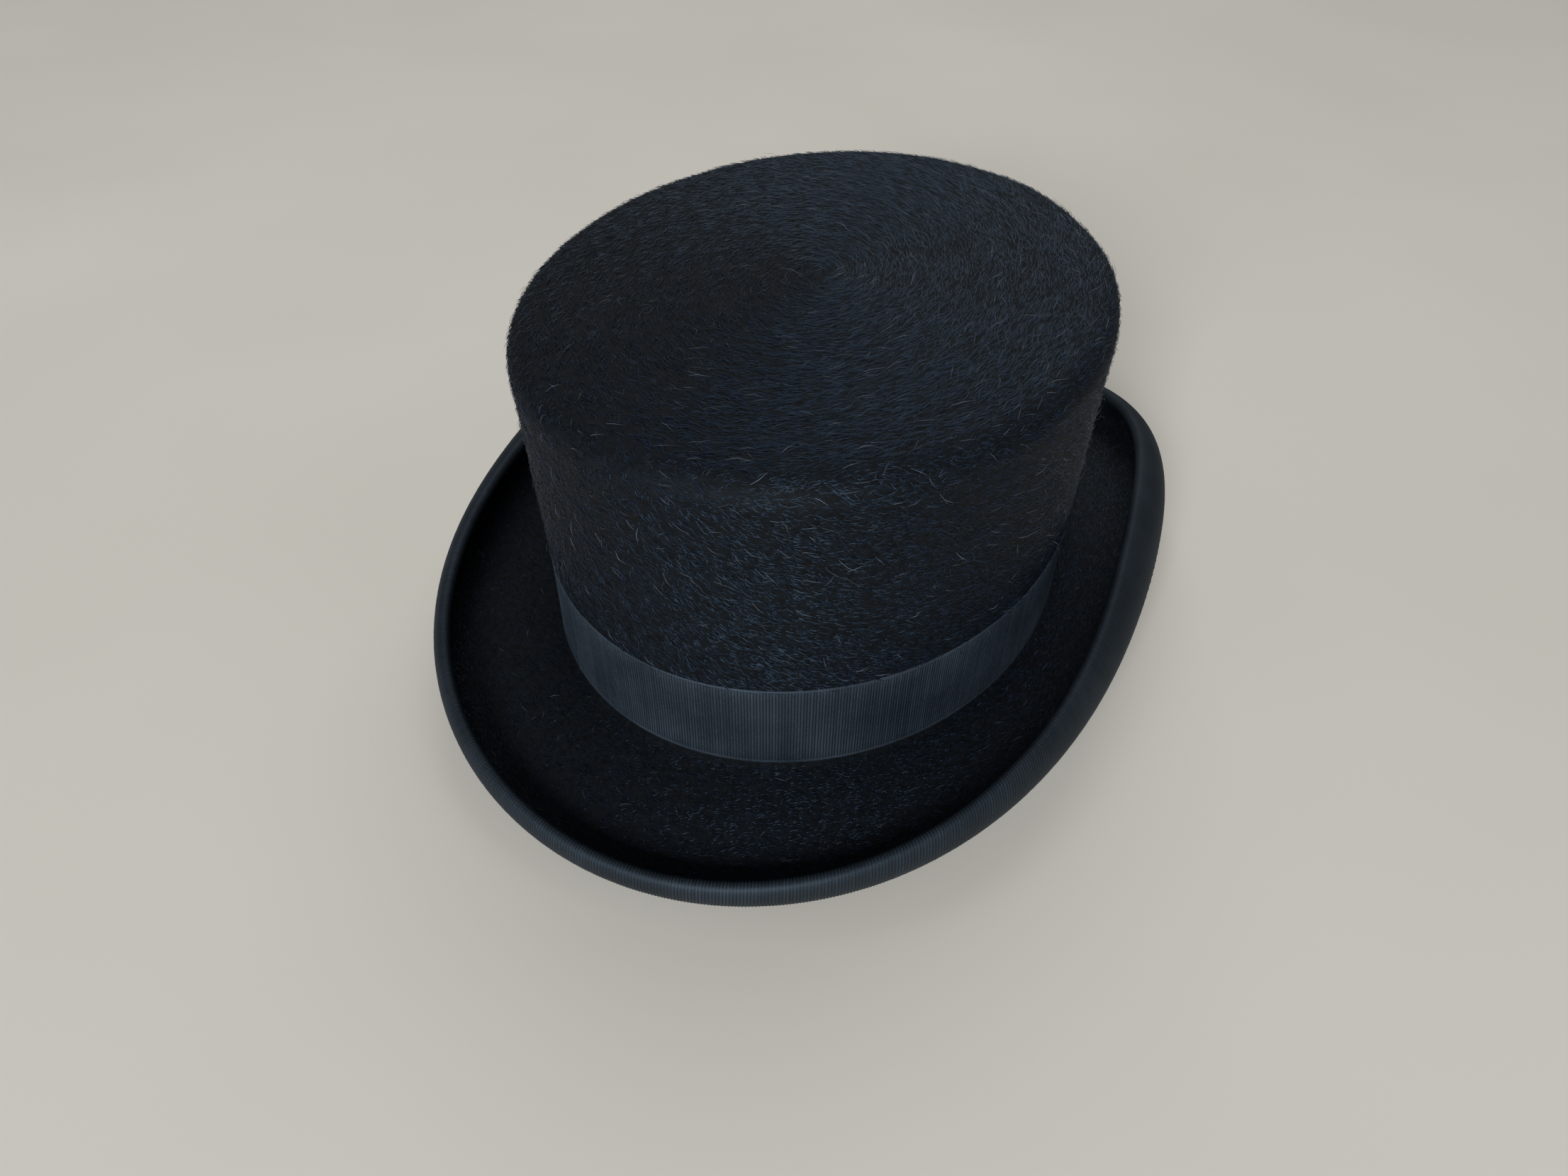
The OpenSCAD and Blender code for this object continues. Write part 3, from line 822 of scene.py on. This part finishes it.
def make_seam_bow():
    """A small flat ribbon bow over the sweatband's back seam."""
    s = np.linspace(-1, 1, 49)
    angle = np.radians(90 + s * STEP * 0.98)[:, None]
    spread_out = 0.42 + 0.58 * np.clip(np.abs(s) / 0.75, 0, 1) ** 0.8
    half = 2.4 * spread_out * np.where(np.abs(s) > 0.96, 0.86, 1)
    heights = SEAM_BOW_HEIGHT + half[:, None] * np.linspace(-1, 1, 9)[None]
    gather = 0.10 * np.cos(heights * 4.5) * np.exp(-(s[:, None] / 0.4) ** 2)
    puff = 0.25 + 0.45 * np.sin(np.pi * np.clip(np.abs(s[:, None]), 0, 1)) + gather
    near = wall(angle, LEATHER_BACK + TOUCH + 0.03, heights)
    far = wall(angle, LEATHER_BACK + TOUCH + puff, heights[:, ::-1])
    length_of_hoop("sweatband_bow_visual", np.concatenate([near, far], 1), TAPE_LOOK,
                   replaced=["sweatband_bow"], slot="ribbon")
    angle = np.radians(90 + np.linspace(-0.85, 0.85, 9))[:, None]
    rise = np.radians(spread(-90, 90, 11))
    over = 0.35 + 0.65 * np.cos(rise)
    near = wall(angle, LEATHER_BACK + TOUCH + 0.03, SEAM_BOW_HEIGHT + 1.7 * spread(-1, 1, 4))
    far = wall(angle, LEATHER_BACK + TOUCH + over, SEAM_BOW_HEIGHT - 1.75 * np.sin(rise) + 0 * angle)
    length_of_hoop("sweatband_bow_knot", np.concatenate([near, far], 1), TAPE_LOOK, slot="ribbon")


def make_lining_side():
    """The satin wall inside the crown, in soft gathers that open above the sweatband."""
    angle = circle(GATHERS * 8)
    heights = np.concatenate([spread(LINING_FOOT, 40, 4), spread(43, EDGE_HEIGHT, 16)], 1)
    below_tip = np.clip((EDGE_HEIGHT + 2 - heights) / 16, 0, 1)
    free = np.clip((heights - 41) / 16, 0, 1) * (0.35 + 0.65 * below_tip)
    wander = 1.1 * waves(wall(angle, 0, heights), 52, 14)
    fold = (0.5 + 0.5 * np.cos(GATHERS * angle + wander)) ** 1.4
    strength = 0.95 + 0.35 * waves(wall(angle, 0, 60 + 0 * angle), 18, 15)
    depth = np.maximum(fold * strength * free, 0)
    near = wall(angle, LINING_FACE + depth, heights)
    far = wall(angle, LINING_FACE + LINING + depth, heights)
    side = hoop("lining_side_visual", np.concatenate([near, far[:, ::-1]], 1), SATIN_LOOK,
                replaced=["lining_side"], slot="satin")
    around = even_circle(8, lambda a: wall(a, LINING_FACE, 60 + 0 * a))[1]


def make_lining_tip():
    """The flat satin under the tip, puckered at its edge, where the piping holds it."""
    outer = INNER_EDGE - TOUCH
    inner = outer - LINING
    angle = circle(480)
    swing = np.radians(spread(42, 90, 7))
    share = spread(1, INNERMOST, 26)[:, 1:]
    wander = 1.5 * waves(wall(angle, 0, 100 + 0 * angle), 25, 16)
    pucker = 0.35 * (1 + np.cos(120 * angle + wander))
    sag = pucker * share ** 7 + 0.5 * (1 - share ** 2) ** 2
    upper = tip_face(angle, share, EDGE_HEIGHT + outer, 0)
    lower = tip_face(angle, share, EDGE_HEIGHT + inner, 0)
    upper[..., 2] -= sag
    lower[..., 2] -= sag
    top = [tip_edge(angle, outer, swing), upper]
    under = [lower[:, ::-1], tip_edge(angle, inner, swing)[:, ::-1]]
    points = np.concatenate(top + under, 1)
    n, m = points.shape[:2]
    gap = swing.shape[1] + share.shape[1] - 1
    rings = grid_faces(n, m, True, True).reshape(n, m, 4)
    rings = np.delete(rings, gap, axis=1).reshape(-1, 4)
    ends = np.array([[0, 0, points[:, gap, 2].mean()], [0, 0, points[:, gap + 1, 2].mean()]])
    row = np.arange(n) * m + gap
    faces = [rings, fan_faces(row, n * m), fan_faces(row[::-1] + 1, n * m + 1)]
    tip = make_piece("lining_tip_visual", np.concatenate([points.reshape(-1, 3), ends]), faces, SATIN_LOOK,
                     replaced=["lining_tip"], slot="satin")


def make_tape():
    """The tape between the sweatband and the crown."""
    angle, _ = even_circle(480, lambda a: wall(a, LINING_FACE, 4 + 0 * a))
    heights = spread(TOUCH, 8, 6)
    near = wall(angle, LINING_FACE, heights)
    far = wall(angle, LINING_FACE + TAPE, heights)
    return hoop("sweatband_tape_visual", np.concatenate([near, far[:, ::-1]], 1), TAPE_LOOK,
                replaced=["sweatband_tape"], slot="thread")


def make_ticket():
    """A blank card tucked between the lining and the sweatband, near the back."""
    s = np.linspace(-1, 1, 25)[:, None]
    angle = np.radians(90 - 4 * STEP + s * STEP)
    corner = np.sqrt(np.clip(1 - np.clip((np.abs(s) - 0.88) / 0.12, 0, 1) ** 2, 0, 1))
    heights = TICKET_HEIGHT + (3.8 + 1.2 * corner) * np.linspace(-1, 1, 5)[None]
    face = LINING_FACE + LINING + TOUCH
    points = np.concatenate([wall(angle, face, heights), wall(angle, face + CARD, heights[:, ::-1])], 1)
    return length_of_hoop("size_ticket_visual", points, TICKET_LOOK, replaced=["size_ticket"], slot="ticket")


# ---------------------------------------------------------------- floor, light and camera
def make_floor():
    """The pale tabletop, which is staging and no part of the hat."""
    made, tree, shader = new_material("floor", 0.75, 0.25)
    tone = texture(tree, "ShaderNodeTexNoise", Scale=3, Detail=3)
    colour = ramp(tree, tone.outputs["Fac"], 0.2, 0.8, (0.65, 0.58, 0.49), (0.71, 0.64, 0.55))
    tree.links.new(colour, shader.inputs["Base Color"])
    mesh = bpy.data.meshes.new("floor")
    size = 20
    corners = [(-size, -size, 0), (size, -size, 0), (size, size, 0), (-size, size, 0)]
    mesh.from_pydata(corners, [], [(0, 1, 2, 3)])
    mesh.materials.append(made)
    floor = bpy.data.objects.new("floor", mesh)
    bpy.context.scene.collection.objects.link(floor)


def area_light(name, place, aim, size, power, colour):
    """A rectangular lamp that faces the point it is aimed at."""
    data = bpy.data.lights.new(name, "AREA")
    data.shape = "RECTANGLE"
    data.size, data.size_y = size
    data.energy = power
    data.color = colour
    lamp = bpy.data.objects.new(name, data)
    lamp.location = place
    lamp.rotation_mode = "QUATERNION"
    lamp.rotation_quaternion = (Vector(aim) - Vector(place)).to_track_quat("-Z", "Y")
    bpy.context.scene.collection.objects.link(lamp)


def make_lights():
    """A dim cool room, a weak lamp above the front and a bright window behind the hat."""
    world = bpy.data.worlds.new("studio")
    world.use_nodes = True
    background = world.node_tree.nodes["Background"]
    background.inputs["Color"].default_value = (0.86, 0.93, 1.0, 1)
    background.inputs["Strength"].default_value = 0.16
    bpy.context.scene.world = world
    area_light("overhead", (0.2, -1.2, 1.75), (0, 0, 0.1), (1.6, 1.2), 13, (0.92, 0.96, 1.0))
    area_light("window", (-0.3, 4.1, 1.95), (0, 0, 0.06), (1.8, 1.4), 268, (0.86, 0.93, 1.0))


def make_camera():
    """The photo's camera, behind the hat and above it, a little to the wearer's right."""
    elevation, yaw, roll = math.radians(39.06), math.radians(18.18), math.radians(1.85)
    distance, shift_x, shift_y = 0.39125, 0.01218, 0.05289
    aim_height = 48  # above the brim at the crown
    target = Vector((0, SEAT[1] * MM, (SEAT[2] + aim_height) * MM))
    flat = math.cos(elevation)
    back = Vector((-math.sin(yaw) * flat, math.cos(yaw) * flat, math.sin(elevation)))
    level = Vector((-math.cos(yaw), -math.sin(yaw), 0))
    upright = back.cross(level)
    right = math.cos(roll) * level + math.sin(roll) * upright
    up = math.cos(roll) * upright - math.sin(roll) * level
    data = bpy.data.cameras.new("camera")
    data.sensor_width = 36
    data.lens = 27.064
    camera = bpy.data.objects.new("camera", data)
    place = target + back * distance - right * shift_x - up * shift_y
    facing = Matrix((right, up, back)).transposed().to_4x4()
    camera.matrix_world = Matrix.Translation(place) @ facing
    bpy.context.scene.collection.objects.link(camera)
    bpy.context.scene.camera = camera


# ---------------------------------------------------------------- build the pieces
make_felt()
# each: name, surface, number, seed, nap's turn and scatter, lengths, widths, lean off the felt, look
hairs("nap_tip", tip_surface, 30000, 31, (4, 14), (2.4, 5.0), (0.14, 0.30), (7, 22), FUR_LOOK)
hairs("nap_crown", shell_surface, 33000, 41, (6, 20), (2.0, 4.4), (0.12, 0.24), (8, 28), FUR_LOOK)
hairs("nap_crown_short", shell_surface, 32000, 44, (6, 34), (1.1, 2.6), (0.12, 0.24), (10, 38), FUR_LOOK)
hairs("nap_brim", upper_surface, 31000, 51, (12, 24), (1.4, 3.2), (0.12, 0.24), (10, 30), FUR_LOOK)
hairs("nap_brim_short", upper_surface, 22000, 54, (12, 40), (0.9, 2.0), (0.12, 0.24), (12, 40), FUR_LOOK)
hairs("nap_underside", lower_surface, 20000, 61, (-12, 14), (1.6, 3.2), (0.14, 0.28), (5, 14), FUR_LOOK)
hairs("guard_hairs_tip", tip_surface, 520, 33, (4, 22), (4.0, 8.0), (0.10, 0.17), (6, 26), GUARD_LOOK)
hairs("guard_hairs_crown", shell_surface, 760, 43, (8, 30), (3.0, 7.0), (0.10, 0.17), (6, 32), GUARD_LOOK)
hairs("guard_hairs_brim", upper_surface, 320, 53, (12, 30), (2.5, 5.0), (0.10, 0.16), (6, 30), GUARD_LOOK)
make_band()
make_binding()
make_binding_stitches()
make_bow()
make_sweatband()
make_sweatband_stitches()
make_reed()
make_tape()
make_seam_bow()
lining_piping = make_piping()
make_lining_side()
make_lining_tip()
make_ticket()
make_floor()
make_lights()
make_camera()
bpy.context.scene.view_settings.view_transform = "Standard"
